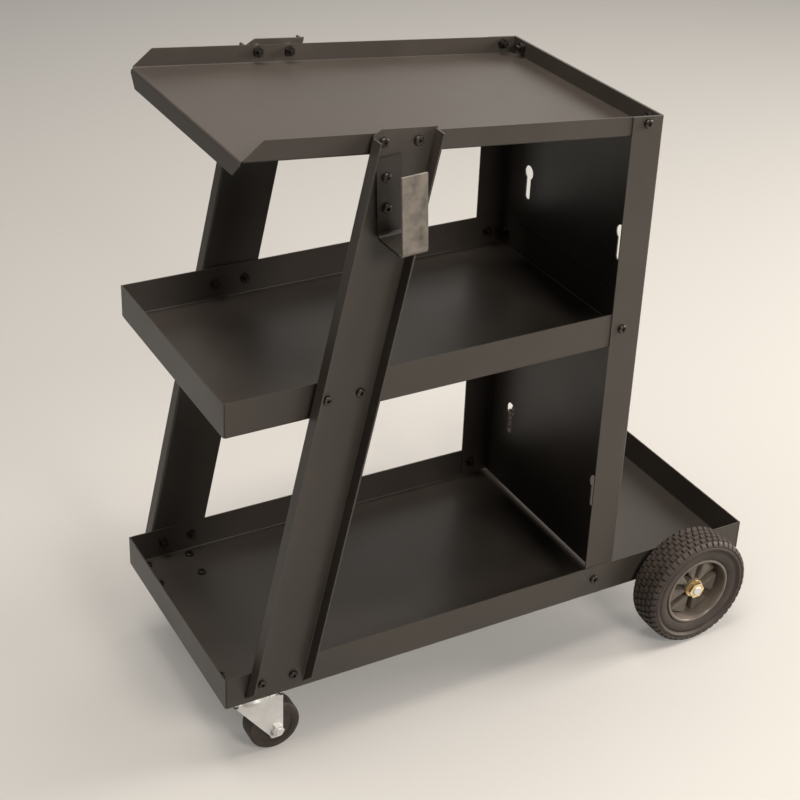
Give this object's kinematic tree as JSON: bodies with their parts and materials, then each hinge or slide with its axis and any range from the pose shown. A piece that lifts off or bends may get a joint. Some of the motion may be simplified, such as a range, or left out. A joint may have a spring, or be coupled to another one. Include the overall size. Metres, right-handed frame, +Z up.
{
  "type": "three-tier workshop cart",
  "caption": "Steel workshop cart: sloping top tray, two rimmed shelves, leaning struts, slotted back panel, cylinder platform, cable hook, fixed rear wheels and swivel casters.",
  "frame": {"origin": "on the floor, under the middle of the cart's bounding box", "axes": "+Z up from the floor, +X from the casters to the fixed rear wheels, +Y to the cart's left side when it is seen from the casters' end looking along +X"},
  "size_m": [0.7229, 0.413, 0.7709],
  "materials": {
    "coated_sheet": "satin black powder coat",
    "bright_zinc": "zinc plated",
    "black_bolts": "blackened",
    "yellow_zinc": "yellow zinc plated",
    "rubber": "matt",
    "black_plastic": "gloss"
  },
  "bodies": {
    "cart": {"bottom_tray": "coated_sheet", "middle_tray": "coated_sheet", "top_tray": "coated_sheet", "back_panel": "coated_sheet", "strut_right": "coated_sheet", "strut_left": "coated_sheet", "cable_hook": "coated_sheet", "strut_bolts": "black_bolts", "strut_nuts": "black_bolts", "strut_spacers": "bright_zinc", "post_bolts": "black_bolts", "post_nuts": "black_bolts", "rear_rim_bolts": "black_bolts", "rear_rim_nuts": "black_bolts", "hook_bolts": "black_bolts", "hook_nuts": "black_bolts", "rear_axle": "bright_zinc", "axle_saddles": "bright_zinc", "saddle_bolts": "black_bolts", "saddle_nuts": "bright_zinc", "axle_spacers": "bright_zinc", "axle_washers": "yellow_zinc", "axle_nuts": "yellow_zinc", "caster_plate_right": "bright_zinc", "caster_plate_left": "bright_zinc", "caster_bolts": "black_bolts", "caster_nuts": "bright_zinc", "kingpin_right": "bright_zinc", "kingpin_left": "bright_zinc"},
    "rear_wheel_right": {"tyre_right": "rubber", "hub_right": "black_plastic"},
    "rear_wheel_left": {"tyre_left": "rubber", "hub_left": "black_plastic"},
    "caster_fork_right": {"fork_right": "bright_zinc", "caster_axle_right": "bright_zinc", "caster_nut_right": "bright_zinc"},
    "caster_fork_left": {"fork_left": "bright_zinc", "caster_axle_left": "bright_zinc", "caster_nut_left": "bright_zinc"},
    "caster_wheel_right": {"caster_tread_right": "rubber", "caster_core_right": "black_plastic"},
    "caster_wheel_left": {"caster_tread_left": "rubber", "caster_core_left": "black_plastic"}
  },
  "joints": [
    {"name": "rear_wheel_right_spin", "type": "hinge", "parent": "cart", "child": "rear_wheel_right", "pos_m": [0.26293, -0.177, 0.074], "axis": [0, 1, 0], "continuous": true},
    {"name": "caster_right_swivel", "type": "hinge", "parent": "cart", "child": "caster_fork_right", "pos_m": [-0.31537, -0.1145, 0.08981], "axis": [0.0337, 0, 0.9994], "continuous": true},
    {"name": "caster_right_spin", "type": "hinge", "parent": "caster_fork_right", "child": "caster_wheel_right", "pos_m": [-0.2923, -0.1145, 0.032], "axis": [0, 1, 0], "continuous": true},
    {"name": "rear_wheel_left_spin", "type": "hinge", "parent": "cart", "child": "rear_wheel_left", "pos_m": [0.26293, 0.184, 0.074], "axis": [0, 1, 0], "continuous": true},
    {"name": "caster_left_swivel", "type": "hinge", "parent": "cart", "child": "caster_fork_left", "pos_m": [-0.31537, 0.1215, 0.08981], "axis": [0.0337, 0, 0.9994], "continuous": true},
    {"name": "caster_left_spin", "type": "hinge", "parent": "caster_fork_left", "child": "caster_wheel_left", "pos_m": [-0.2923, 0.1215, 0.032], "axis": [0, 1, 0], "continuous": true}
  ]
}
